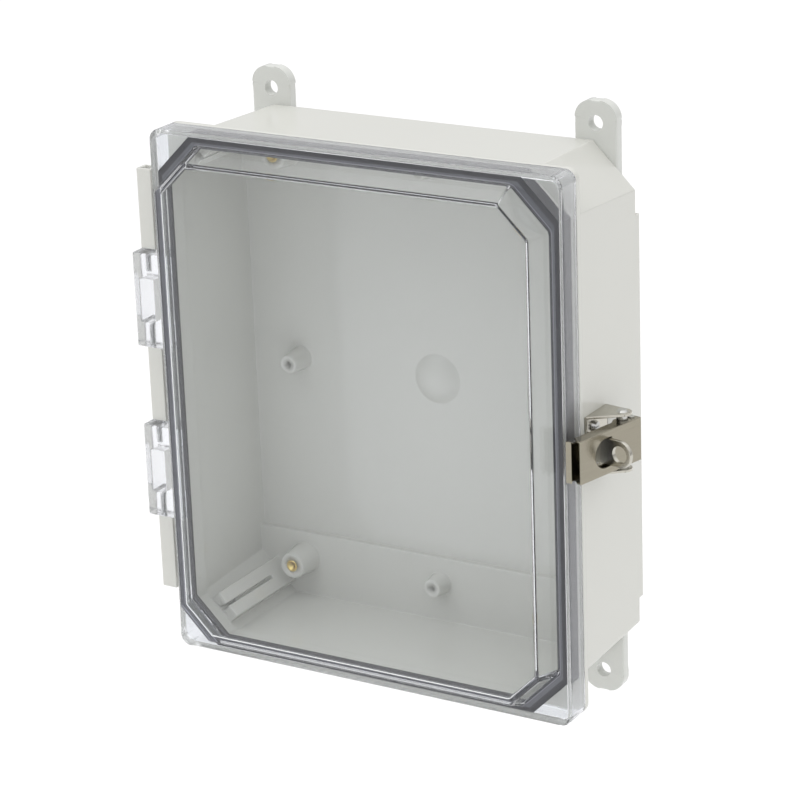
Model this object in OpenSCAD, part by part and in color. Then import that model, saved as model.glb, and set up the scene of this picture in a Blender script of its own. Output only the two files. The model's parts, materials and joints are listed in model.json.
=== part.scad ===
// Hinged polycarbonate enclosure: a moulded base on four mounting feet, a clear
// hinged cover with a raised octagonal window, and a stainless over-centre draw latch.
// Frame: +X towards the latch, +Z up, front towards -Y. The origin is the centre of
// the plane that the feet stand on, so a depth d lies at y = -d. Millimetres.

/* [Cover] */
// Overall width of the cover
cover_w = 263; // [220:1:320]
// Overall height of the cover
cover_h = 317; // [270:1:400]
// Wall thickness of the cover
cover_t = 3; // [2:0.5:4]
// Depth of the skirt that wraps the base, from the front face of the rim
skirt_d = 16.3; // [14:0.1:24]
// Corner radius of the rim
rim_r = 7; // [4:0.5:12]
// How far the octagonal window stands out of the rim
window_d = 15.7; // [6:0.1:24]
// Flat margin of the rim outside the window wall
window_margin = 6.2; // [5:0.1:14]
// How far the window narrows in width towards its front, each side
window_in_w = 5.9; // [2:0.1:10]
// How far the window narrows in height towards its front, each side
window_in_h = 7.3; // [2:0.1:10]
// Corner chamfer of the window at the rim
window_chamfer = 25; // [20:0.5:34]
// Corner chamfer of the window at its front
window_front_chamfer = 18.5; // [12:0.5:28]

/* [Base] */
// Depth from the mounting plane to the front face of the base flange
body_d = 78.2; // [60:0.1:110]
// Wall thickness of the base
wall = 3.3; // [2.4:0.1:4]
// How far the side walls stand inside the edge of the cover
side_inset = 1.5; // [1:0.1:4]
// How far the top and bottom walls stand inside the edge of the cover, at the flange
end_inset = 2.1; // [1:0.1:4]
// Extra inset of the top and bottom walls at the back, for moulding draft
end_draft = 2; // [0:0.1:4]
// Corner chamfer of the body at the flange
body_chamfer = 24; // [18:0.5:34]
// Corner chamfer of the body at the back
body_back_chamfer = 25.7; // [18:0.1:36]
// Thickness of the base flange
flange_t = 4; // [3:0.5:6]
// Half height of the deeper central part of the back wall, inside
deep_half_h = 111; // [80:1:114]
// How much deeper the central part of the back wall is
deep_step = 4.5; // [2:0.1:5.5]
// Height of the sealing rim above the base flange
rim_h = 11.8; // [10:0.1:12]
// Thickness of the sealing rim
rim_t = 2.4; // [2:0.1:3]
// Corner chamfer of the sealing rim, outside
rim_chamfer = 21; // [20:0.1:24]

/* [Gasket] */
// Width of the gasket along the sides
gasket_w = 8; // [5:0.1:8.5]
// Corner chamfer of the gasket, outside
gasket_chamfer = 21.9; // [21:0.1:25]
// Corner chamfer of the gasket, inside
gasket_inner_chamfer = 21.4; // [18:0.1:24]
// Thickness of the gasket's leg beside the sealing rim
gasket_leg_t = 1; // [0.6:0.1:1.2]
// How far the gasket's leg reaches back beside the sealing rim
gasket_leg_h = 7.3; // [3:0.1:9]

/* [Bosses] */
// Spacing of the panel bosses across the width
panel_x = 189; // [150:1:200]
// Spacing of the panel bosses up the height
panel_z = 254; // [220:1:262]
// Depth of the faces of the panel bosses
panel_face_d = 26; // [18:0.5:40]
// Radius of a panel boss at its face
panel_boss_r = 8; // [6:0.5:10]
// Outer radius of a threaded brass insert
insert_r = 3.6; // [3:0.1:4.5]
// Length of a threaded brass insert
insert_len = 11; // [6:0.5:12]
// Radius of the threaded bore of an insert
insert_bore_r = 2.1; // [1.5:0.1:2.5]
// Spacing of the two side bosses of the back wall
side_boss_x = 188; // [120:1:200]
// Spacing of the upper and lower middle bosses of the back wall
mid_boss_z = 254; // [230:1:262]
// Depth of the faces of the side and middle bosses
mid_face_d = 20.6; // [14:0.1:30]
// Radius of a side or middle boss at its face
mid_boss_r = 5.5; // [4.5:0.1:8]
// Radius of the pilot holes in the side and middle bosses
pilot_r = 2.2; // [1.5:0.1:2.8]
// Depth of the pilot holes
pilot_depth = 9; // [5:0.5:10]
// Radius of the round dome at the centre of the back wall
dome_r = 15; // [10:0.5:20]
// Height of the dome
dome_h = 5; // [3:0.5:8]

/* [Corner posts] */
// Distance of the front hole of a corner post from the middle, across the width
post_x = 112.6; // [112:0.1:113]
// Distance of the front hole of a corner post from the middle, up the height
post_z = 139; // [138:0.1:140]
// Width of a corner post
post_w = 18; // [14:0.5:22]
// Radius of the front hole of a corner post
post_hole_r = 2; // [1.5:0.1:2]
// Depth of the front hole of a corner post
post_hole_depth = 16; // [8:0.5:24]
// Depth at which the guide slit of a post starts
slit_back_d = 26.8; // [20:0.1:40]
// Width of the guide slit
slit_w = 2; // [1:0.1:3]
// Depth of the guide slit into the post
slit_depth = 4; // [2:0.1:5]

/* [Feet] */
// Width of a mounting foot
foot_w = 26; // [22:0.5:30]
// Thickness of a mounting foot
foot_t = 6.5; // [6:0.1:9]
// Distance of a foot's centre line from the middle
foot_x = 106; // [100:0.5:108]
// Distance of a foot's outer end from the middle
foot_end_z = 176.8; // [172:0.1:190]
// Corner radius of a foot's outer end
foot_r = 10.5; // [6:0.5:11]
// Distance of the foot holes from the middle, up the height
foot_hole_z = 164; // [162:0.5:166]
// Radius of a foot hole
foot_hole_r = 4.5; // [3:0.1:5]
// Distance of a foot screw from the middle, across the width
foot_screw_x = 112.5; // [111:0.1:113]
// Distance of a foot screw from the middle, up the height
foot_screw_z = 139.5; // [138:0.1:140]
// Shank radius of a foot screw
foot_screw_r = 2.5; // [2:0.1:2.6]
// Length of a foot screw under its head
foot_screw_len = 16; // [10:0.5:18]

/* [Hinge] */
// Distance of the hinge line from the edge of the cover
hinge_out = 15.5; // [14:0.1:20]
// Depth of the hinge line
hinge_d = 77; // [76:0.1:78]
// Height of the lower edge of the upper knuckle above the middle
knuckle_z0 = 24.2; // [16:0.1:34]
// Length of a cover knuckle
knuckle_len = 57; // [44:0.5:70]
// Height of the top of the hinge rail above the middle
rail_end_z = 129.7; // [120:0.1:131]
// Length of the window in a knuckle
knuckle_window_len = 26; // [12:0.5:32]
// Width of the window in a knuckle
knuckle_window_w = 9.5; // [6:0.1:11]
// Radius of a hinge pin
pin_r = 2; // [1.5:0.1:2.2]
// Length of a hinge pin
pin_len = 24; // [16:0.5:26]
// Height of the notches at the ends of the rail webs
rail_notch = 9; // [4:0.5:12]

/* [Latch] */
// Length of the lever
lever_len = 51; // [48:0.5:56]
// Height of the lever
lever_h = 25; // [24:0.5:27]
// Sheet thickness of the latch
sheet = 1.2; // [1:0.1:1.5]
// Depth of the lever's side flanges
lever_side = 7; // [6.4:0.1:8]
// Angle by which the lever flares away from the side of the body
lever_flare = 13; // [8:0.5:15]
// Distance of the lever's pivot from its front end
pivot_u = 42; // [40:0.5:43]
// Depth of the lever's pivot behind its outer face
pivot_v = 6; // [5:0.1:6.5]
// Distance of the hook's pin from the lever's front end
hook_pin_u = 47.5; // [46:0.1:48]
// Depth of the hook's pin behind the lever's outer face
hook_pin_v = 4; // [3.8:0.1:4.5]
// Radius of the pivot rivets
pivot_r = 1.75; // [1.5:0.05:2]
// Radius of the hook's pin
hook_pin_r = 1.25; // [1:0.05:1.4]
// Spacing of the bracket's ears, outside to outside
bracket_h = 34; // [33:0.5:40]
// Depth of the front edge of the bracket
bracket_front_d = 71.5; // [68:0.5:72]
// Depth of the back edge of the bracket
bracket_back_d = 46.5; // [44:0.5:48]
// How far the hook's lip reaches in over the rim when it is swung home
hook_grip = 2.2; // [1:0.1:3]
// Radius of the hole in the padlock staple
padlock_r = 5; // [3:0.1:5]
// Outer radius of the padlock staple
staple_r = 7.75; // [7:0.05:7.8]
// Thickness of the padlock staple
staple_t = 2.4; // [1.5:0.1:2.6]
// Distance of the staple from the lever's front end
staple_u = 24.5; // [23:0.1:25]
// Shank radius of the latch screws
latch_screw_r = 2; // [1.5:0.1:2.2]

/* [Hidden] */
$fn = 64;

gap = 0.3;              // working gap between pieces that move past each other
seat_fit = 0.02;        // radial clearance of a pressed or screwed piece
run_fit = 0.08;         // radial clearance of a turning pin
over = 1;               // how far cutting tools run past a face
diagonal = sqrt(2);

// depths from the mounting plane
deep_back_d = foot_t - deep_step;
skirt_back_d = body_d + gap;
front_d = skirt_back_d + skirt_d;
rim_back_d = front_d - cover_t;
window_front_d = front_d + window_d;
seal_d = body_d + rim_h;
gasket_back_d = seal_d + gap;
flange_back_d = body_d - flange_t;
inner_back_d = foot_t + wall;
inner_deep_d = deep_back_d + wall;

// half sizes of the outlines
cover_hw = cover_w / 2;
cover_hh = cover_h / 2;
body_hw = cover_hw - side_inset;
body_hh = cover_hh - end_inset;
body_back_hh = body_hh - end_draft;
leg_gap = 0.8;          // room between the gasket's leg and the sealing rim
seal_gap = gap + gasket_leg_t + leg_gap;
seal_hw = cover_hw - cover_t - seal_gap;
seal_hh = cover_hh - cover_t - seal_gap;
gasket_hw = cover_hw - cover_t - gap;
gasket_hh = cover_hh - cover_t - gap;
window_hw = cover_hw - window_margin;
window_hh = cover_hh - window_margin;
rear_half_h = deep_half_h + wall;

// hinge
hinge_x = -cover_hw - hinge_out;
hinge_y = -hinge_d;
knuckle_front_d = hinge_d + 12;
knuckle_back_d = hinge_d - 4;
knuckle_out = 6.5;
knuckle_gap = 0.5;
rail_front_d = hinge_d + 4.5;
rail_back_d = hinge_d - 4.5;
rail_hw = 5;
knuckle_mid_z = knuckle_z0 + knuckle_len / 2;
knuckle_end = (knuckle_len - knuckle_window_len) / 2;

// latch: the lever's own axes run u along it from its front end and v in from its outer face
side_x = body_hw;
lever_y0 = -front_d - 0.9;
lever_x0 = side_x + 10.4;
bracket_hh = bracket_h / 2;
bracket_t = 1.5;
lever_hh = lever_h / 2;
hook_hh = lever_hh - sheet - 0.4;
eye_r = hook_pin_r + sheet;
pivot = lever_point(pivot_u, pivot_v);
hook_pivot = lever_point(hook_pin_u, hook_pin_v);
hook_lip_x = cover_hw + gap;
hook_swing_back = hook_grip * (hook_pivot[0] - hook_lip_x) / (front_d + hook_pivot[1]);
hook_lip_y = -front_d - gap - hook_swing_back;
hook_arm_x = cover_hw + gap + hook_grip;
staple_hole_v = -7.5;
slot_u = pivot_u - sqrt(pow(pivot_u - staple_u, 2) + pow(pivot_v - staple_hole_v, 2) - pow(pivot_v, 2));
slot_clear = 0.5;
latch_screw_d = 62.5;
latch_screw_z = 9.5;
nut_h = 3.2;
washer_t = 1;
ear_r = 5.5;
slot_hh = staple_r + slot_clear;
lip_hh = lever_hh - 0.5;

// domes and screws
dome_ball_r = (dome_r * dome_r + dome_h * dome_h) / (2 * dome_h);
screw_head_r = 1.7 * foot_screw_r;
screw_head_h = 2.8;

// the point at u along the lever and v in from its outer face, as x and y
function lever_point(u, v) = [
    lever_x0 + u * sin(lever_flare) - v * cos(lever_flare),
    lever_y0 + u * cos(lever_flare) + v * sin(lever_flare)];

// chamfer of an octagon that lies t inside one whose chamfer is c
function inner_chamfer(c, t) = c - (2 - diagonal) * t;

function octagon_points(hw, hh, c) = [
    [hw, hh - c], [hw - c, hh], [c - hw, hh], [-hw, hh - c],
    [-hw, c - hh], [c - hw, -hh], [hw - c, -hh], [hw, c - hh]];

// an outline in x and z, as a solid from depth back to depth front
module prism(back, front) {
    translate([0, -back, 0]) rotate([90, 0, 0]) linear_extrude(front - back) children();
}

// a round bar along y from depth back to depth front
module rod(x, z, back, front, r) {
    translate([x, -back, z]) rotate([90, 0, 0]) cylinder(h = front - back, r = r);
}

// an octagonal block whose half sizes and chamfers change from back to front
module octagon_block(back, back_size, front, front_size) {
    a = octagon_points(back_size[0], back_size[1], back_size[2]);
    b = octagon_points(front_size[0], front_size[1], front_size[2]);
    points = concat([for (p = a) [p[0], -back, p[1]]], [for (p = b) [p[0], -front, p[1]]]);
    sides = [for (i = [0:7]) [8 + i, 8 + (i + 1) % 8, (i + 1) % 8, i]];
    polyhedron(points, concat([[for (i = [0:7]) i]], [[for (i = [0:7]) 15 - i]], sides));
}

module octagon(hw, hh, c) {
    polygon(octagon_points(hw, hh, c));
}

module rounded_rectangle(hw, hh, r) {
    square([2 * (hw - r), 2 * hh], center = true);
    square([2 * hw, 2 * (hh - r)], center = true);
    for (sx = [-1, 1], sz = [-1, 1]) translate([sx * (hw - r), sz * (hh - r)]) circle(r);
}

// a boss on the back wall that widens towards its root
module boss(x, z, root_d, face_d, r) {
    translate([x, -root_d, z]) rotate([90, 0, 0]) cylinder(h = face_d - root_d, r1 = r + 1.8, r2 = r);
}

// an outline drawn on the lever's u and v axes, as a solid from height z0 to height z1
module lever_prism(z0, z1) {
    translate([lever_x0, lever_y0, z0])
        multmatrix([[sin(lever_flare), -cos(lever_flare), 0, 0],
                    [cos(lever_flare), sin(lever_flare), 0, 0],
                    [0, 0, 1, 0]])
            linear_extrude(z1 - z0) children();
}

// an outline drawn on the lever's u axis and height, as a solid from v0 in to v1
module lever_face_prism(v0, v1) {
    p = lever_point(0, v1);
    translate([p[0], p[1], 0])
        multmatrix([[sin(lever_flare), 0, cos(lever_flare), 0],
                    [cos(lever_flare), 0, -sin(lever_flare), 0],
                    [0, 1, 0, 0]])
            linear_extrude(v1 - v0) children();
}

module base_outside() {
    octagon_block(foot_t, [body_hw, body_back_hh, body_back_chamfer],
        flange_back_d, [body_hw, body_hh, body_chamfer]);
    translate([-body_hw, -foot_t - over, -rear_half_h])
        cube([2 * body_hw, deep_step + over, 2 * rear_half_h]);
    prism(flange_back_d, body_d) rounded_rectangle(cover_hw, cover_hh, rim_r);
    prism(body_d, seal_d) octagon(seal_hw, seal_hh, rim_chamfer);
}

module base_cavity() {
    octagon_block(inner_back_d, [body_hw - wall, body_back_hh - wall, inner_chamfer(body_back_chamfer, wall)],
        flange_back_d, [body_hw - wall, body_hh - wall, inner_chamfer(body_chamfer, wall)]);
    translate([-body_hw + wall, -inner_back_d - over, -deep_half_h])
        cube([2 * (body_hw - wall), inner_back_d - inner_deep_d + over, 2 * deep_half_h]);
    prism(flange_back_d - over, seal_d + over)
        octagon(seal_hw - rim_t, seal_hh - rim_t, inner_chamfer(rim_chamfer, rim_t));
}

module corner_post(sx, sz) {
    prism(inner_back_d - over, flange_back_d + over)
        translate([sx * foot_screw_x, sz * foot_screw_z]) rotate(atan2(sz, sx))
            translate([-5, -post_w / 2]) square([9, post_w]);
}

module corner_post_cuts(sx, sz) {
    rod(sx * post_x, sz * post_z, body_d - post_hole_depth, body_d + over, post_hole_r);
    rod(sx * foot_screw_x, sz * foot_screw_z, foot_t - over, foot_t + foot_screw_len - 1, foot_screw_r + seat_fit);
    prism(slit_back_d, flange_back_d + 2 * over)
        translate([sx * foot_screw_x, sz * foot_screw_z]) rotate(atan2(sz, sx))
            translate([-5 - over, -slit_w / 2]) square([slit_depth + over, slit_w]);
}

// one length of hinge rail between heights z0 and z1, with its web to the flange
module rail(z0, z1) {
    difference() {
        union() {
            translate([hinge_x - rail_hw, -rail_front_d, z0])
                cube([2 * rail_hw, rail_front_d - rail_back_d, z1 - z0]);
            translate([hinge_x, -body_d, z0 + rail_notch])
                cube([hinge_out + over, flange_t, z1 - z0 - 2 * rail_notch]);
        }
        for (z = [z0, z1])
            translate([hinge_x, hinge_y, z])
                cylinder(h = pin_len + 2, r = pin_r + run_fit, center = true);
    }
}

module base_shell() color([0.86, 0.87, 0.86]) {
    difference() {
        union() {
            difference() {
                base_outside();
                base_cavity();
            }
            intersection() {
                base_outside();
                for (sx = [-1, 1], sz = [-1, 1]) corner_post(sx, sz);
            }
            for (sx = [-1, 1], sz = [-1, 1])
                boss(sx * panel_x / 2, sz * panel_z / 2, inner_back_d - over, panel_face_d, panel_boss_r);
            for (sx = [-1, 1])
                boss(sx * side_boss_x / 2, 0, inner_deep_d - over, mid_face_d, mid_boss_r);
            for (sz = [-1, 1])
                boss(0, sz * mid_boss_z / 2, inner_back_d - over, mid_face_d, mid_boss_r);
            intersection() {
                translate([0, -inner_deep_d - dome_h + dome_ball_r, 0]) sphere(dome_ball_r);
                rod(0, 0, inner_deep_d - over, inner_deep_d + dome_h + over, dome_r + 5);
            }
            rail(-knuckle_z0 + knuckle_gap, knuckle_z0 - knuckle_gap);
            for (side = [-1, 1])
                mirror([0, 0, side < 0 ? 1 : 0])
                    rail(knuckle_z0 + knuckle_len + knuckle_gap, rail_end_z);
        }
        for (sx = [-1, 1], sz = [-1, 1]) {
            corner_post_cuts(sx, sz);
            rod(sx * panel_x / 2, sz * panel_z / 2, panel_face_d - insert_len, panel_face_d + over, insert_r + seat_fit);
        }
        for (sx = [-1, 1])
            rod(sx * side_boss_x / 2, 0, mid_face_d - pilot_depth, mid_face_d + over, pilot_r);
        for (sz = [-1, 1])
            rod(0, sz * mid_boss_z / 2, mid_face_d - pilot_depth, mid_face_d + over, pilot_r);
        for (sz = [-1, 1])
            translate([side_x - wall - over, -latch_screw_d, sz * latch_screw_z])
                rotate([0, 90, 0]) cylinder(h = wall + 2 * over, r = latch_screw_r + seat_fit);
    }
}

// one knuckle of the cover, from height z0 up
module knuckle(z0) {
    inner = cover_hw + 1.3;
    difference() {
        union() {
            translate([hinge_x - knuckle_out, -knuckle_front_d, z0])
                cube([knuckle_out + hinge_out + over, knuckle_front_d - skirt_back_d, knuckle_len]);
            translate([hinge_x - knuckle_out, -skirt_back_d - over, z0])
                cube([-hinge_x + knuckle_out - inner, skirt_back_d + over - knuckle_back_d, knuckle_len]);
        }
        translate([hinge_x - 2.5, -knuckle_front_d - over, z0 + knuckle_end])
            cube([knuckle_window_w, knuckle_front_d - knuckle_back_d + 2 * over, knuckle_window_len]);
        for (z = [z0, z0 + knuckle_len])
            translate([hinge_x, hinge_y, z])
                cylinder(h = pin_len + 1, r = pin_r + seat_fit, center = true);
    }
}

module cover() color([0.74, 0.77, 0.8, 0.5]) {
    difference() {
        union() {
            prism(skirt_back_d, front_d) rounded_rectangle(cover_hw, cover_hh, rim_r);
            octagon_block(front_d - over, [window_hw, window_hh, window_chamfer],
                window_front_d, [window_hw - window_in_w, window_hh - window_in_h, window_front_chamfer]);
        }
        prism(skirt_back_d - over, rim_back_d)
            rounded_rectangle(cover_hw - cover_t, cover_hh - cover_t, rim_r - cover_t);
        octagon_block(rim_back_d - over, window_inside(0),
            window_front_d - cover_t, window_inside(1));
    }
    knuckle(knuckle_z0);
    knuckle(-knuckle_z0 - knuckle_len);
}

// half sizes and chamfer of the inside of the window, at its back (0) or front (1)
function window_inside(at) = [
    window_hw - cover_t - at * window_in_w,
    window_hh - cover_t - at * window_in_h,
    inner_chamfer(at == 0 ? window_chamfer : window_front_chamfer, cover_t)];

module gasket() color([0.3, 0.31, 0.34]) {
    prism(gasket_back_d, rim_back_d) difference() {
        octagon(gasket_hw, gasket_hh, gasket_chamfer);
        octagon(gasket_hw - gasket_w, gasket_hh - gasket_w, gasket_inner_chamfer);
    }
    prism(gasket_back_d - gasket_leg_h, gasket_back_d + leg_gap) difference() {
        octagon(gasket_hw, gasket_hh, gasket_chamfer);
        octagon(gasket_hw - gasket_leg_t, gasket_hh - gasket_leg_t, inner_chamfer(gasket_chamfer, gasket_leg_t));
    }
}

// a mounting foot; sx and sz are -1 or 1
module foot(sx, sz) color([0.86, 0.87, 0.86]) {
    inner_z = rear_half_h + gap;
    mirror([0, 0, sz < 0 ? 1 : 0]) mirror([sx < 0 ? 1 : 0, 0, 0]) difference() {
        prism(0, foot_t) translate([foot_x, 0]) {
            translate([-foot_w / 2, inner_z]) square([foot_w, foot_end_z - foot_r - inner_z]);
            translate([foot_r - foot_w / 2, inner_z]) square([foot_w - 2 * foot_r, foot_end_z - inner_z]);
            for (s = [-1, 1])
                translate([s * (foot_w / 2 - foot_r), foot_end_z - foot_r]) circle(foot_r);
        }
        rod(foot_x, foot_hole_z, -over, foot_t + 2 * over, foot_hole_r);
        rod(foot_screw_x, foot_screw_z, -over, foot_t + over, foot_screw_r + seat_fit);
        rod(foot_screw_x, foot_screw_z, -over, screw_head_h + 0.4, screw_head_r + 0.3);
    }
}

module foot_screw(sx, sz) color([0.75, 0.76, 0.78]) {
    difference() {
        union() {
            rod(sx * foot_screw_x, sz * foot_screw_z, 0.4, screw_head_h + 0.4, screw_head_r);
            rod(sx * foot_screw_x, sz * foot_screw_z, screw_head_h, screw_head_h + foot_screw_len, foot_screw_r);
        }
        translate([sx * foot_screw_x, 0, sz * foot_screw_z]) for (a = [0, 90])
            rotate([0, a, 0]) translate([-2.4, -1.8, -0.5]) cube([4.8, 1.8, 1]);
    }
}

module insert(sx, sz) color([0.83, 0.66, 0.3]) {
    difference() {
        rod(sx * panel_x / 2, sz * panel_z / 2, panel_face_d - insert_len, panel_face_d + 0.4, insert_r);
        rod(sx * panel_x / 2, sz * panel_z / 2, panel_face_d - insert_len - over, panel_face_d + over, insert_bore_r);
    }
}

// a hinge pin whose middle is at height z
module hinge_pin(z) color([0.7, 0.71, 0.72]) {
    translate([hinge_x, hinge_y, z]) cylinder(h = pin_len, r = pin_r, center = true);
}

module latch_bracket() color([0.62, 0.6, 0.55]) {
    difference() {
        union() {
            translate([side_x, -bracket_front_d, -bracket_hh])
                cube([bracket_t, bracket_front_d - bracket_back_d, bracket_h]);
            for (z = [-bracket_hh, bracket_hh - bracket_t])
                translate([0, 0, z]) linear_extrude(bracket_t) {
                    polygon([[side_x, -bracket_front_d], [pivot[0] + 3.6, pivot[1] - 4.2],
                        [pivot[0] + 1.7, pivot[1] + 5.2], [side_x, -bracket_back_d]]);
                    translate(pivot) circle(ear_r);
                }
        }
        translate([pivot[0], pivot[1], 0]) cylinder(h = bracket_h + 2, r = pivot_r + seat_fit, center = true);
        for (sz = [-1, 1])
            translate([side_x - over, -latch_screw_d, sz * latch_screw_z])
                rotate([0, 90, 0]) cylinder(h = bracket_t + 2 * over, r = latch_screw_r + seat_fit);
    }
}

// the tab that stands through the lever's slot and takes a padlock
module padlock_staple() color([0.62, 0.6, 0.55]) {
    foot_v = pivot_v + (pivot[0] - side_x - bracket_t) / cos(lever_flare)
        + (pivot_u - staple_u) * tan(lever_flare);
    difference() {
        translate([lever_x0, lever_y0, 0])
            rotate([0, 0, -lever_flare]) rotate([90, 0, 0])
                translate([0, 0, -staple_u - staple_t / 2]) linear_extrude(staple_t) {
                    translate([-staple_hole_v, 0]) circle(staple_r);
                    translate([-foot_v, -staple_r]) square([foot_v - staple_hole_v, 2 * staple_r]);
                }
        translate([lever_x0, lever_y0, 0])
            rotate([0, 0, -lever_flare]) rotate([90, 0, 0])
                translate([-staple_hole_v, 0, -staple_u - staple_t]) cylinder(h = 2 * staple_t, r = padlock_r);
        translate([side_x + bracket_t - 10, -bracket_front_d - 10, -staple_r - over])
            cube([10, bracket_h, 2 * (staple_r + over)]);
    }
}

// a shouldered rivet through one ear and one lever flange; side is -1 or 1
module pivot_rivet(side) color([0.7, 0.69, 0.66]) {
    translate([pivot[0], pivot[1], 0]) mirror([0, 0, side < 0 ? 1 : 0]) {
        translate([0, 0, lever_hh - sheet]) cylinder(h = bracket_hh - lever_hh + sheet, r = pivot_r);
        translate([0, 0, lever_hh + gap])
            cylinder(h = bracket_hh - bracket_t - lever_hh - gap, r = pivot_r + 1.5);
        translate([0, 0, bracket_hh]) cylinder(h = 1.1, r1 = pivot_r + 1.5, r2 = pivot_r + 0.6);
    }
}

module latch_lever() color([0.5, 0.48, 0.42]) {
    difference() {
        union() {
            lever_prism(-lever_hh, lever_hh) square([lever_len, sheet]);
            for (z = [-lever_hh, lever_hh - sheet])
                lever_prism(z, z + sheet) {
                    polygon([[0, 0], [lever_len, 0], [lever_len, hook_pin_v + 1.5], [lever_len - 2.5, lever_side],
                        [pivot_u + 4, pivot_v + 3.4], [pivot_u - 4, pivot_v + 3.4], [pivot_u - 8, lever_side],
                        [3, lever_side], [0, 3]]);
                }
        }
        lever_face_prism(-over, sheet + over) slot_outline();
        translate([pivot[0], pivot[1], 0]) cylinder(h = lever_h + 2, r = pivot_r + run_fit, center = true);
        translate([hook_pivot[0], hook_pivot[1], 0])
            cylinder(h = lever_h + 2, r = hook_pin_r + seat_fit, center = true);
    }
}

// the slot that the staple passes through: square behind, round in front
module slot_outline() {
    end_u = staple_u + staple_t / 2 + slot_clear;
    round_end = [for (a = [90:7.5:270]) [slot_u + slot_hh * cos(a), slot_hh * sin(a)]];
    polygon(concat([[end_u, slot_hh]], round_end, [[end_u, -slot_hh]]));
}

module hook_pin() color([0.7, 0.69, 0.66]) {
    translate([hook_pivot[0], hook_pivot[1], 0]) {
        cylinder(h = lever_h, r = hook_pin_r, center = true);
        for (s = [-1, 1]) translate([0, 0, s * (lever_hh + 0.3)])
            cylinder(h = 0.6, r = hook_pin_r + 0.6, center = true);
    }
}

// the draw hook: an eye on its pin, two arms past the staple, and a lip at the cover's rim
module latch_hook() color([0.6, 0.58, 0.53]) {
    lip_front = hook_lip_y - sheet;
    lip_out = hook_arm_x + sheet;
    run = [hook_arm_x, hook_lip_y] - hook_pivot;
    side = [-run[1], run[0]] * sheet / 2 / norm(run);
    lean = atan2(run[0], -run[1]);
    difference() {
        union() {
            translate([0, 0, -hook_hh]) linear_extrude(2 * hook_hh) {
                translate(hook_pivot) circle(eye_r);
                polygon([hook_pivot + side, hook_pivot - side, [hook_arm_x, hook_lip_y],
                    [hook_lip_x, hook_lip_y], [hook_lip_x, lip_front], [lip_out, lip_front]]);
            }
            translate([hook_lip_x, lip_front, -lip_hh])
                cube([lip_out - hook_lip_x, sheet, 2 * lip_hh]);
        }
        translate([hook_pivot[0], hook_pivot[1], 0])
            cylinder(h = 2 * hook_hh + 2, r = hook_pin_r + run_fit, center = true);
        translate([hook_pivot[0], hook_pivot[1], -slot_hh]) rotate([0, 0, lean])
            translate([-3, -hook_pin_u + slot_u - slot_hh, 0])
                cube([6, staple_u + staple_t / 2 + 1.2 - slot_u + slot_hh, 2 * slot_hh]);
    }
}

module latch_screw(side) color([0.75, 0.76, 0.78]) {
    translate([side_x + bracket_t, -latch_screw_d, side * latch_screw_z]) rotate([0, 90, 0]) {
        difference() {
            cylinder(h = 2.2, r1 = 1.75 * latch_screw_r, r2 = 1.3 * latch_screw_r);
            translate([-0.4, -2 * latch_screw_r, 1.4]) cube([0.8, 4 * latch_screw_r, 1]);
        }
        mirror([0, 0, 1])
            cylinder(h = bracket_t + wall + washer_t + nut_h + 1.2, r = latch_screw_r);
    }
}

module latch_nut(side) color([0.75, 0.76, 0.78]) {
    translate([side_x - wall - washer_t - nut_h, -latch_screw_d, side * latch_screw_z]) rotate([0, 90, 0])
        difference() {
            cylinder(h = nut_h, r = 2 * latch_screw_r, $fn = 6);
            translate([0, 0, -over]) cylinder(h = nut_h + 2 * over, r = latch_screw_r + seat_fit);
        }
}

module sealing_washer(side) color([0.2, 0.2, 0.2]) {
    translate([side_x - wall - washer_t, -latch_screw_d, side * latch_screw_z]) rotate([0, 90, 0])
        difference() {
            cylinder(h = washer_t, r = 2.4 * latch_screw_r);
            translate([0, 0, -over]) cylinder(h = washer_t + 2 * over, r = latch_screw_r + seat_fit);
        }
}

base_shell();
cover();
gasket();
foot(-1, 1);  // foot_top_left
foot(1, 1);  // foot_top_right
foot(-1, -1);  // foot_bottom_left
foot(1, -1);  // foot_bottom_right
foot_screw(-1, 1);  // foot_screw_top_left
foot_screw(1, 1);  // foot_screw_top_right
foot_screw(-1, -1);  // foot_screw_bottom_left
foot_screw(1, -1);  // foot_screw_bottom_right
insert(-1, 1);  // insert_top_left
insert(1, 1);  // insert_top_right
insert(-1, -1);  // insert_bottom_left
insert(1, -1);  // insert_bottom_right
hinge_pin(knuckle_z0 + knuckle_len);  // hinge_pin_upper_top
hinge_pin(knuckle_z0);  // hinge_pin_upper_bottom
hinge_pin(-knuckle_z0);  // hinge_pin_lower_top
hinge_pin(-knuckle_z0 - knuckle_len);  // hinge_pin_lower_bottom
latch_bracket();
padlock_staple();
pivot_rivet(1);  // pivot_rivet_top
pivot_rivet(-1);  // pivot_rivet_bottom
latch_lever();
latch_hook();
hook_pin();
latch_screw(1);  // latch_screw_top
latch_screw(-1);  // latch_screw_bottom
latch_nut(1);  // latch_nut_top
latch_nut(-1);  // latch_nut_bottom
sealing_washer(1);  // sealing_washer_top
sealing_washer(-1);  // sealing_washer_bottom
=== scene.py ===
# %% [markdown]
# # A hinged polycarbonate enclosure
# The object is a wall box: a light grey moulded base on four feet, a clear cover with a raised window,
# hinges on the left and a stainless draw latch on the right. Every solid of it comes from the packed
# model, already in place. This script loads that model, keeps its sizes, and gives each piece its
# rounded edges, its small details and its finish.

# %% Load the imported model
import bpy
import bmesh
import json
from math import pi, radians
from mathutils import Matrix, Vector


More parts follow.
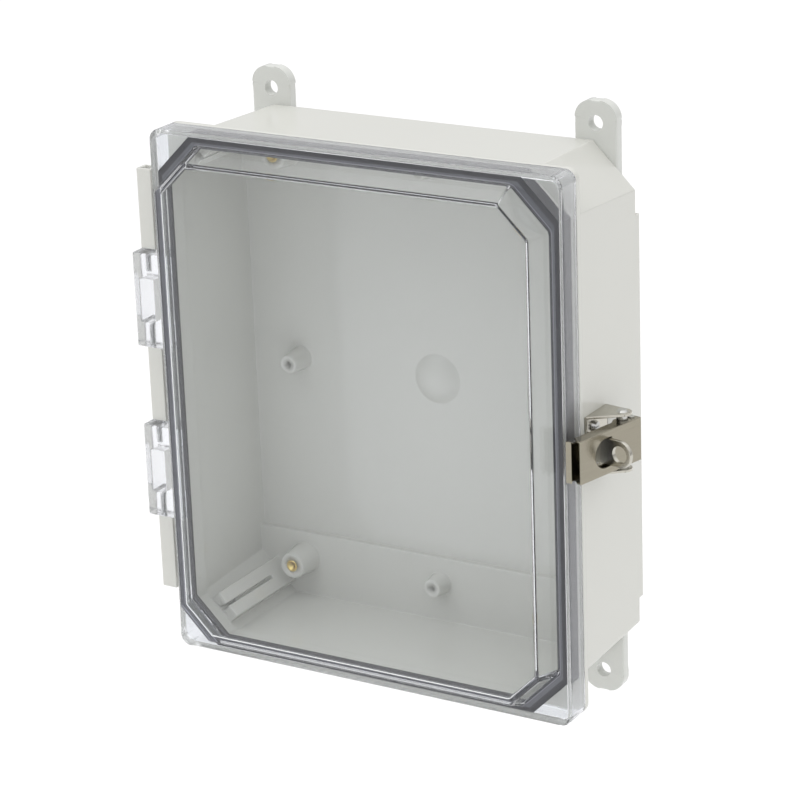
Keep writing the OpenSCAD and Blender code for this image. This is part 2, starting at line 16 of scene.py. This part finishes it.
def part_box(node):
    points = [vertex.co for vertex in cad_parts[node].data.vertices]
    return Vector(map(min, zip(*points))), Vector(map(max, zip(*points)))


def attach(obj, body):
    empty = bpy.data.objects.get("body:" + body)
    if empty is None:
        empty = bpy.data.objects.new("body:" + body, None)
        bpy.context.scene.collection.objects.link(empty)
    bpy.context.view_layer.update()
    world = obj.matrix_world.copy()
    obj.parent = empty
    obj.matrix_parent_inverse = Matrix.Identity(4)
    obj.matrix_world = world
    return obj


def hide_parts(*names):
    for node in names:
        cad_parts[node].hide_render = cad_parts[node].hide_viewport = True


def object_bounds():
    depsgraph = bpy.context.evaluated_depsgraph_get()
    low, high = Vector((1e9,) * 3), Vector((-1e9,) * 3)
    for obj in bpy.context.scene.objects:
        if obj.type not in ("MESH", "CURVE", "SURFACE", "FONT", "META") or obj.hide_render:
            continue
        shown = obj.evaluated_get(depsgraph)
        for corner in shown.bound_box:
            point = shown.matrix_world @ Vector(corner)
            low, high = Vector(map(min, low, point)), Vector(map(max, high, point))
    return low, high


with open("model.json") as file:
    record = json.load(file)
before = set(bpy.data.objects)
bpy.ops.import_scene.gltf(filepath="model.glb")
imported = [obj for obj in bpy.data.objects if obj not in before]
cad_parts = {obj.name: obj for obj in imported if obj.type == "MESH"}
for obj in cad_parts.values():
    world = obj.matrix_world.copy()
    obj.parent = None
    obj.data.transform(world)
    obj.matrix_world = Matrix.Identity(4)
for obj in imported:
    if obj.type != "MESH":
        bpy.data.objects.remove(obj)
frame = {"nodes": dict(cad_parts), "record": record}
cad_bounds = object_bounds()
nodes = frame["nodes"]
record = frame["record"]
body_names = {name: body for body, names in record["behaviour"]["bodies"].items() for name in names}

# %% [markdown]
# ## The camera
# A long lens stands to the right of the box and above it. Naming the heading, the tilt and the roll
# keeps the view readable: the camera first looks up the Y axis, then tips down, then turns.

# %% Set the camera
camera_data = bpy.data.cameras.new("camera")
camera_data.sensor_width = 36
camera_data.lens = 141.4
camera = bpy.data.objects.new("camera", camera_data)
camera.location = (0.8815, -1.4966, 0.5968)
heading, tilt, roll = radians(31.35), radians(19.38), radians(2.15)
camera.rotation_euler = (
    Matrix.Rotation(heading, 4, "Z") @ Matrix.Rotation(pi / 2 - tilt, 4, "X") @ Matrix.Rotation(-roll, 4, "Z")
).to_euler()
bpy.context.scene.collection.objects.link(camera)
bpy.context.scene.camera = camera
print("camera at", tuple(camera.location))

# %% [markdown]
# ## Light and floor
# A box with a clear cover is lit by a soft room, bright above and dimmer at the horizon. The bright sky
# lights the top and the floor, and the dimmer sides keep steel and clear plastic from turning white where
# they mirror the room. One large weak lamp gives the edges a direction. The floor is pale and lies well
# below the box, which hangs on a wall in use.

# %% Light the room
scene = bpy.context.scene
scene.view_settings.view_transform = "Standard"
horizon_strength, zenith_strength = 0.45, 1.45
light_bounces = 24

world = bpy.data.worlds.new("white_room")
world.use_nodes = True
room = world.node_tree
background = room.nodes["Background"]
direction = room.nodes.new("ShaderNodeTexCoord")
split = room.nodes.new("ShaderNodeSeparateXYZ")
climb = room.nodes.new("ShaderNodeMapRange")
climb.inputs["To Min"].default_value = horizon_strength
climb.inputs["To Max"].default_value = zenith_strength
room.links.new(direction.outputs["Generated"], split.inputs[0])
room.links.new(split.outputs["Z"], climb.inputs["Value"])
room.links.new(climb.outputs[0], background.inputs["Strength"])
background.inputs["Color"].default_value = (1, 1, 1, 1)
scene.world = world
scene.cycles.max_bounces = light_bounces
scene.cycles.transmission_bounces = light_bounces


def soft_lamp(name, place, size, watts):
    """A square area lamp that faces the middle of the box."""
    data = bpy.data.lights.new(name, "AREA")
    data.size = size
    data.energy = watts
    lamp = bpy.data.objects.new(name, data)
    lamp.location = place
    lamp.rotation_euler = (Vector((0, -0.05, 0)) - Vector(place)).to_track_quat("-Z", "Y").to_euler()
    scene.collection.objects.link(lamp)
    return lamp


soft_lamp("top_lamp", (-0.5, -0.9, 1.5), 1.2, 4)

# %% Lay the floor
floor_drop = 0.35
floor_reach = 6
floor_mesh = bpy.data.meshes.new("floor")
bm = bmesh.new()
bmesh.ops.create_grid(bm, x_segments=1, y_segments=1, size=floor_reach)
bmesh.ops.translate(bm, verts=bm.verts, vec=(0, 0, cad_bounds[0][2] - floor_drop))
bm.to_mesh(floor_mesh)
bm.free()
floor = bpy.data.objects.new("floor", floor_mesh)
scene.collection.objects.link(floor)
floor_paint = bpy.data.materials.new("floor_paint")
floor_paint.use_nodes = True
floor_shader = floor_paint.node_tree.nodes["Principled BSDF"]
floor_shader.inputs["Base Color"].default_value = (0.95, 0.95, 0.95, 1)
floor_shader.inputs["Roughness"].default_value = 0.9
floor_mesh.materials.append(floor_paint)
print("floor", floor_drop, "m below the box")

# %% [markdown]
# ## Effects that several finishes share
# Two small node groups are built once and placed in the materials with their own values. The first
# varies a colour and a roughness a little, as a moulded surface does. The second draws the fine streaks
# of rolled or turned metal.

# %% Build the shared effects


def new_group(name, inputs, outputs):
    """An empty shader group with float or colour sockets; returns its tree and its two end nodes."""
    tree = bpy.data.node_groups.new(name, "ShaderNodeTree")
    for label, kind, value in inputs:
        socket = tree.interface.new_socket(name=label, in_out="INPUT", socket_type=kind)
        if value is not None:
            socket.default_value = value
    for label, kind in outputs:
        tree.interface.new_socket(name=label, in_out="OUTPUT", socket_type=kind)
    return tree, tree.nodes.new("NodeGroupInput"), tree.nodes.new("NodeGroupOutput")


def mottle_group():
    """Moulded plastic: slow drifts of tone, fine orange peel, and small changes of gloss."""
    tree, ins, outs = new_group(
        "mottle",
        [("Color", "NodeSocketColor", (0.8, 0.8, 0.8, 1)), ("Drift", "NodeSocketFloat", 0.03),
         ("Gloss", "NodeSocketFloat", 0.25), ("Grain", "NodeSocketFloat", 900.0)],
        [("Color", "NodeSocketColor"), ("Roughness", "NodeSocketFloat"), ("Height", "NodeSocketFloat")],
    )
    place = tree.nodes.new("ShaderNodeTexCoord")
    slow = tree.nodes.new("ShaderNodeTexNoise")
    slow.inputs["Scale"].default_value = 9
    slow.inputs["Detail"].default_value = 3
    fine = tree.nodes.new("ShaderNodeTexNoise")
    fine.inputs["Detail"].default_value = 2
    tree.links.new(place.outputs["Object"], slow.inputs["Vector"])
    tree.links.new(place.outputs["Object"], fine.inputs["Vector"])
    tree.links.new(ins.outputs["Grain"], fine.inputs["Scale"])
    # The noise lies round 0.5, so it is centred on 0 before it scales the tone and shifts the gloss.
    centred = tree.nodes.new("ShaderNodeMath")
    centred.operation = "SUBTRACT"
    centred.inputs[1].default_value = 0.5
    tree.links.new(slow.outputs["Fac"], centred.inputs[0])
    scaled = tree.nodes.new("ShaderNodeMath")
    scaled.operation = "MULTIPLY_ADD"
    scaled.inputs[2].default_value = 1.0
    tree.links.new(centred.outputs[0], scaled.inputs[0])
    tree.links.new(ins.outputs["Drift"], scaled.inputs[1])
    tone = tree.nodes.new("ShaderNodeVectorMath")
    tone.operation = "SCALE"
    tree.links.new(ins.outputs["Color"], tone.inputs[0])
    tree.links.new(scaled.outputs[0], tone.inputs["Scale"])
    tree.links.new(tone.outputs[0], outs.inputs["Color"])
    gloss = tree.nodes.new("ShaderNodeMath")
    gloss.operation = "MULTIPLY_ADD"
    gloss.inputs[1].default_value = 0.12
    tree.links.new(centred.outputs[0], gloss.inputs[0])
    tree.links.new(ins.outputs["Gloss"], gloss.inputs[2])
    tree.links.new(gloss.outputs[0], outs.inputs["Roughness"])
    tree.links.new(fine.outputs["Fac"], outs.inputs["Height"])
    return tree


def brush_group():
    """Rolled steel sheet: fine streaks along one axis, in the roughness and the height."""
    tree, ins, outs = new_group(
        "brush",
        [("Color", "NodeSocketColor", (0.5, 0.5, 0.5, 1)), ("Roughness", "NodeSocketFloat", 0.3),
         ("Streak X", "NodeSocketFloat", 1.0), ("Streak Y", "NodeSocketFloat", 1.0),
         ("Streak Z", "NodeSocketFloat", 1.0)],
        [("Color", "NodeSocketColor"), ("Roughness", "NodeSocketFloat"), ("Height", "NodeSocketFloat")],
    )
    place = tree.nodes.new("ShaderNodeTexCoord")
    join = tree.nodes.new("ShaderNodeCombineXYZ")
    for axis in "XYZ":
        tree.links.new(ins.outputs["Streak " + axis], join.inputs[axis])
    stretch = tree.nodes.new("ShaderNodeVectorMath")
    stretch.operation = "MULTIPLY"
    tree.links.new(place.outputs["Object"], stretch.inputs[0])
    tree.links.new(join.outputs[0], stretch.inputs[1])
    streaks = tree.nodes.new("ShaderNodeTexNoise")
    streaks.inputs["Scale"].default_value = 1.0
    streaks.inputs["Detail"].default_value = 4
    tree.links.new(stretch.outputs[0], streaks.inputs["Vector"])
    spread = tree.nodes.new("ShaderNodeMapRange")
    spread.inputs["To Min"].default_value = 0.86
    spread.inputs["To Max"].default_value = 1.12
    tree.links.new(streaks.outputs["Fac"], spread.inputs["Value"])
    tone = tree.nodes.new("ShaderNodeVectorMath")
    tone.operation = "SCALE"
    tree.links.new(ins.outputs["Color"], tone.inputs[0])
    tree.links.new(spread.outputs[0], tone.inputs["Scale"])
    tree.links.new(tone.outputs[0], outs.inputs["Color"])
    rough = tree.nodes.new("ShaderNodeMath")
    rough.operation = "MULTIPLY"
    tree.links.new(ins.outputs["Roughness"], rough.inputs[0])
    tree.links.new(spread.outputs[0], rough.inputs[1])
    tree.links.new(rough.outputs[0], outs.inputs["Roughness"])
    tree.links.new(streaks.outputs["Fac"], outs.inputs["Height"])
    return tree


mottle = mottle_group()
brush = brush_group()
print("shared effects:", mottle.name, brush.name)

# %% [markdown]
# ## Grey moulded polycarbonate
# The base and its feet are injection moulded and glossy, with a faint orange peel. The colour is a warm
# light grey. A Principled shader carries it; the mottle group moves its tone and gloss a little, and a
# weak bump breaks up the reflections.

# %% Make the grey plastic


def material_with(name, group):
    """A material whose Principled shader reads colour, roughness and height from one group."""
    made = bpy.data.materials.new(name)
    made.use_nodes = True
    tree = made.node_tree
    shader = tree.nodes["Principled BSDF"]
    effect = tree.nodes.new("ShaderNodeGroup")
    effect.node_tree = group
    bump = tree.nodes.new("ShaderNodeBump")
    tree.links.new(effect.outputs["Color"], shader.inputs["Base Color"])
    tree.links.new(effect.outputs["Roughness"], shader.inputs["Roughness"])
    tree.links.new(effect.outputs["Height"], bump.inputs["Height"])
    tree.links.new(bump.outputs["Normal"], shader.inputs["Normal"])
    return made, shader, effect, bump


def moulded(name, color, gloss, drift=0.03, peel=0.02):
    """Moulded plastic or rubber: its tone drifts by a share, and peel is the strength of its bump."""
    made, shader, effect, bump = material_with(name, mottle)
    effect.inputs["Color"].default_value = (*color, 1)
    effect.inputs["Gloss"].default_value = gloss
    effect.inputs["Drift"].default_value = drift
    bump.inputs["Strength"].default_value = peel
    bump.inputs["Distance"].default_value = 0.0004
    shader.inputs["IOR"].default_value = 1.55
    return made


grey_plastic = moulded("grey_plastic", (0.665, 0.665, 0.625), 0.13)
foot_plastic = moulded("foot_plastic", (0.66, 0.67, 0.64), 0.2)

# %% [markdown]
# ## Clear polycarbonate
# The cover is real glass to the renderer, with the refraction of polycarbonate and a faint cool tint. Lamps
# can't find their way through refracting glass, so rays that ask for light pass straight through it, by
# a Transparent shader that a Light Path node switches in. The inside of the box is then lit as it should be.

# %% Make the clear plastic


def clear_plastic(name, tint, rough):
    """Refracting plastic that lets rays looking for light through without bending them."""
    made = bpy.data.materials.new(name)
    made.use_nodes = True
    tree = made.node_tree
    shader = tree.nodes["Principled BSDF"]
    shader.inputs["Base Color"].default_value = (*tint, 1)
    shader.inputs["Transmission Weight"].default_value = 1.0
    shader.inputs["IOR"].default_value = 1.5
    effect = tree.nodes.new("ShaderNodeGroup")
    effect.node_tree = mottle
    effect.inputs["Gloss"].default_value = rough
    effect.inputs["Grain"].default_value = 60.0
    bump = tree.nodes.new("ShaderNodeBump")
    bump.inputs["Strength"].default_value = 0.01
    bump.inputs["Distance"].default_value = 0.0005
    tree.links.new(effect.outputs["Height"], bump.inputs["Height"])
    tree.links.new(bump.outputs["Normal"], shader.inputs["Normal"])
    shader.inputs["Roughness"].default_value = rough
    path = tree.nodes.new("ShaderNodeLightPath")
    open_way = tree.nodes.new("ShaderNodeBsdfTransparent")
    open_way.inputs["Color"].default_value = (*[0.5 + 0.5 * c for c in tint], 1)
    seen = shader.outputs["BSDF"]
    for ray in ("Is Diffuse Ray", "Is Shadow Ray"):
        blend = tree.nodes.new("ShaderNodeMixShader")
        tree.links.new(path.outputs[ray], blend.inputs["Fac"])
        tree.links.new(seen, blend.inputs[1])
        tree.links.new(open_way.outputs["BSDF"], blend.inputs[2])
        seen = blend.outputs["Shader"]
    tree.links.new(seen, tree.nodes["Material Output"].inputs["Surface"])
    return made


clear_cover = clear_plastic("clear_cover", (0.90, 0.915, 0.93), 0.02)
satin_cover = clear_plastic("satin_cover", (0.90, 0.91, 0.94), 0.22)

# %% [markdown]
# ## Rubber, steel and brass
# The gasket and the washers are dull dark rubber. The latch is polished stainless sheet with fine rolling
# streaks along its length; its colour is darkened and warmed as a painted reflection of dark warm
# surroundings. Pins and screws are plainer steel, and the inserts are turned brass.

# %% Make the rubber and the metals


def metal(name, color, rough, streaks):
    """Rolled or turned metal; streaks are the noise scales along X, Y and Z, high across the streaks."""
    made, shader, effect, bump = material_with(name, brush)
    effect.inputs["Color"].default_value = (*color, 1)
    effect.inputs["Roughness"].default_value = rough
    for axis, value in zip("XYZ", streaks):
        effect.inputs["Streak " + axis].default_value = value
    bump.inputs["Strength"].default_value = 0.05
    bump.inputs["Distance"].default_value = 0.0002
    shader.inputs["Metallic"].default_value = 1.0
    return made


gasket_rubber = moulded("gasket_rubber", (0.07, 0.07, 0.08), 0.5, drift=0.2, peel=0.15)
washer_rubber = moulded("washer_rubber", (0.02, 0.02, 0.02), 0.6, drift=0.2, peel=0.2)
# The latch's dark warm colour is a painted reflection of dark warm surroundings, not the steel's own tone.
latch_steel = metal("latch_steel", (0.33, 0.305, 0.245), 0.2, (60, 60, 1400))
bracket_steel = metal("bracket_steel", (0.55, 0.53, 0.47), 0.26, (900, 60, 900))
pin_steel = metal("pin_steel", (0.6, 0.6, 0.58), 0.25, (60, 60, 2500))
screw_steel = metal("screw_steel", (0.6, 0.6, 0.59), 0.28, (1500, 1500, 60))
turned_brass = metal("turned_brass", (0.95, 0.73, 0.26), 0.3, (60, 3000, 60))

# %% [markdown]
# ## Rounded edges
# Moulded and bent pieces have no knife edges, and it is the rounded edges that catch the light. The solids
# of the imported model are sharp, so each large one is replaced by a copy: its loose triangles are merged
# into one skin, and its sharp edges are bevelled. Flat faces then lead the shading, by weighted normals.

# %% A helper that rounds a copy of a solid
sharp_turn = 28
shade_turn = 32
bevel_segments = 3
merge_reach = 0.000004


def copy_shape(node):
    """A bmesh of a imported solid, with its loose triangles merged into one skin."""
    shape = bmesh.new()
    shape.from_mesh(nodes[node].data)
    bmesh.ops.remove_doubles(shape, verts=shape.verts, dist=merge_reach)
    return shape


def round_edges(shape, radius):
    """Bevels the edges that turn sharply and are long enough to take the radius."""
    sharp = [
        e for e in shape.edges
        if e.is_manifold and e.calc_face_angle(0) > radians(sharp_turn) and e.calc_length() > radius
    ]
    bmesh.ops.bevel(
        shape, geom=sharp, offset=radius, offset_type="OFFSET", affect="EDGES", segments=bevel_segments,
        profile=0.5, material=-1, clamp_overlap=False,
    )
    return len(sharp)


def add_piece(name, shape, finish, body, stands_for=()):
    """Turns a bmesh into a smooth-shaded object that rides on a body of the model."""
    mesh = bpy.data.meshes.new(name)
    shape.to_mesh(mesh)
    shape.free()
    mesh.shade_smooth()
    mesh.set_sharp_from_angle(angle=radians(shade_turn))
    mesh.materials.append(finish)
    piece = bpy.data.objects.new(name, mesh)
    scene.collection.objects.link(piece)
    piece.modifiers.new("flat_faces_lead", "WEIGHTED_NORMAL").keep_sharp = True
    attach(piece, body)
    if stands_for:
        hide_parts(*stands_for)
    return piece


def softened(node, finish, radius):
    """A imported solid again, with its edges rounded."""
    shape = copy_shape(node)
    count = round_edges(shape, radius)
    piece = add_piece(node + "_rounded", shape, finish, body_names[node], (node,))
    print(node, "edges rounded:", count)
    return piece


# %% Round the pieces
softened("base_shell", grey_plastic, 0.0006)
cover = softened("cover", clear_cover, 0.001)
for node in nodes:
    if node.startswith("foot_screw"):
        softened(node, screw_steel, 0.0002)
    elif node.startswith("foot_"):
        softened(node, foot_plastic, 0.0009)
# The lever and hook use the latch steel, whose colour is a painted dark warm reflection.
softened("latch_lever", latch_steel, 0.0004)
softened("latch_hook", latch_steel, 0.0003)
softened("latch_bracket", bracket_steel, 0.0003)
softened("padlock_staple", bracket_steel, 0.0005)

# %% [markdown]
# ## Satin knuckles and skirt
# The window of the cover is polished, but its skirt and its hinge knuckles come from a finely textured
# part of the mould, so they scatter light a little. Their faces get the satin version of the plastic.

# %% Give the knuckles and the skirt their satin
cover.data.materials.append(satin_cover)
gasket_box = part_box("gasket")
knuckle_line = gasket_box[0][0] - 0.004
skirt_line = gasket_box[0][1] - 0.001
side_facing = 0.3
satin_faces = 0
for face in cover.data.polygons:
    is_knuckle = face.center.x < knuckle_line
    is_skirt = face.center.y > skirt_line and abs(face.normal.y) < side_facing
    if is_knuckle or is_skirt:
        face.material_index = 1
        satin_faces += 1
print("satin faces:", satin_faces)

# %% [markdown]
# ## Painted light and shade on the gasket
# The gasket is one dark rubber ring, and its bands are painted light and shade: a painted shade along the
# inner edge, a thin painted highlight line, and a paler flat of painted reflection between it and the outer
# edge. The bands follow the octagon, so the material measures how far a point lies inside it, from its Object
# coordinates.

# %% Paint light and shade onto the gasket
ring_half = (gasket_box[1][0], gasket_box[1][2])
ring_corner = 0.0219
ring_width = 0.008
corner_slope = 0.52
blue_cast = 1.12
# Each stop is a share of the ring's width, from its outer edge, and a grey tone of painted light or shade.
# The stops from 0.36 to 0.6 are a painted reflection, the 0.66 stop is a painted highlight line, and the
# stops from 0.72 inward are painted shade along the inner edge.
gasket_light_and_shade_stops = [
    (0.0, 0.06), (0.3, 0.07), (0.36, 0.17), (0.6, 0.15), (0.66, 0.4), (0.72, 0.06), (1.0, 0.045),
]


def math_node(tree, operation, first, second=None):
    """One math node; each operand is a socket or a number."""
    made = tree.nodes.new("ShaderNodeMath")
    made.operation = operation
    for place, value in enumerate((first, second)):
        if hasattr(value, "is_linked"):
            tree.links.new(value, made.inputs[place])
        elif value is not None:
            made.inputs[place].default_value = value
    return made.outputs[0]


def paint_gasket_light_and_shade(finish):
    """Paints light and shade on a finish in rings by how far a point lies inside the octagon's outer edge."""
    tree = finish.node_tree
    effect = next(n for n in tree.nodes if n.type == "GROUP")
    place = tree.nodes.new("ShaderNodeTexCoord")
    axes = tree.nodes.new("ShaderNodeSeparateXYZ")
    tree.links.new(place.outputs["Object"], axes.inputs[0])
    across = math_node(tree, "ABSOLUTE", axes.outputs["X"])
    up = math_node(tree, "ABSOLUTE", axes.outputs["Z"])
    from_side = math_node(tree, "SUBTRACT", ring_half[0], across)
    from_end = math_node(tree, "SUBTRACT", ring_half[1], up)
    both = math_node(tree, "ADD", across, up)
    from_corner = math_node(tree, "SUBTRACT", sum(ring_half) - ring_corner, both)
    from_corner = math_node(tree, "MULTIPLY", from_corner, corner_slope)
    from_straight = math_node(tree, "MINIMUM", from_side, from_end)
    nearest = math_node(tree, "MINIMUM", from_straight, from_corner)
    share = math_node(tree, "DIVIDE", nearest, ring_width)
    # This ramp holds the painted shade, highlight and reflection of the gasket.
    painted_light_ramp = tree.nodes.new("ShaderNodeValToRGB")
    while len(painted_light_ramp.color_ramp.elements) < len(gasket_light_and_shade_stops):
        painted_light_ramp.color_ramp.elements.new(0.5)
    for element, (position, tone) in zip(painted_light_ramp.color_ramp.elements, gasket_light_and_shade_stops):
        element.position = position
        element.color = (tone, tone, tone * blue_cast, 1)
    tree.links.new(share, painted_light_ramp.inputs["Fac"])
    tree.links.new(painted_light_ramp.outputs["Color"], effect.inputs["Color"])


paint_gasket_light_and_shade(gasket_rubber)
print(len(gasket_light_and_shade_stops), "stops across the gasket")

# %% [markdown]
# ## Threaded inserts
# A brass insert is a short tube pressed into its boss, with a thread cut in its bore and a chamfer at its
# mouth. It is turned on a lathe, so it is made the same way: a profile is drawn and spun once round.

# %% Turn the threaded inserts
thread_pitch = 0.0008
thread_depth = 0.0004
outer_chamfer = 0.0002
mouth_chamfer = 0.0005
bore_share = 0.62


def turned_insert(node):
    """A brass tube with a chamfered mouth and a thread in its bore, in the place of a plain insert."""
    low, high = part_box(node)
    centre = Vector(((low[0] + high[0]) / 2, 0, (low[2] + high[2]) / 2))
    outside = (high[0] - low[0]) / 2
    bore = outside * bore_share
    front, back = low[1], high[1]
    profile = [
        (bore, back), (outside, back), (outside, front + outer_chamfer), (outside - outer_chamfer, front),
        (bore + mouth_chamfer, front),
    ]
    depth, crest = front + mouth_chamfer, True
    while depth < back - thread_pitch:
        profile.append((bore if crest else bore + thread_depth, depth))
        depth += thread_pitch / 2
        crest = not crest
    shape = bmesh.new()
    points = [shape.verts.new((centre.x + r, y, centre.z)) for r, y in profile]
    rim_lines = [shape.edges.new((a, b)) for a, b in zip(points, points[1:] + points[:1])]
    bmesh.ops.spin(
        shape, geom=points + rim_lines, cent=centre, axis=(0, 1, 0), angle=2 * pi, steps=40,
        use_merge=True,
    )
    bmesh.ops.remove_doubles(shape, verts=shape.verts, dist=0.00001)
    bmesh.ops.recalc_face_normals(shape, faces=shape.faces)
    add_piece(node + "_turned", shape, turned_brass, body_names[node], (node,))


for node in nodes:
    if node.startswith("insert_"):
        turned_insert(node)
print("inserts turned")

# %% [markdown]
# ## Pieces that stay as they are
# The gasket, the pins, rivets, latch screws and nuts and the washers are simple solids whose shape is
# already right; they only need their finish. A piece's finish follows from the first word of its name.

# %% Give the small pieces their finish
finishes = {
    "gasket": gasket_rubber, "sealing": washer_rubber, "hinge": pin_steel,
    "pivot": pin_steel, "hook": pin_steel, "latch": screw_steel,
}
rounded_already = ("latch_lever", "latch_hook", "latch_bracket")
for name, piece in nodes.items():
    finish = finishes.get(name.split("_")[0])
    if finish is not None and name not in rounded_already:
        piece.data.materials.clear()
        piece.data.materials.append(finish)
        print(name, "in", finish.name)
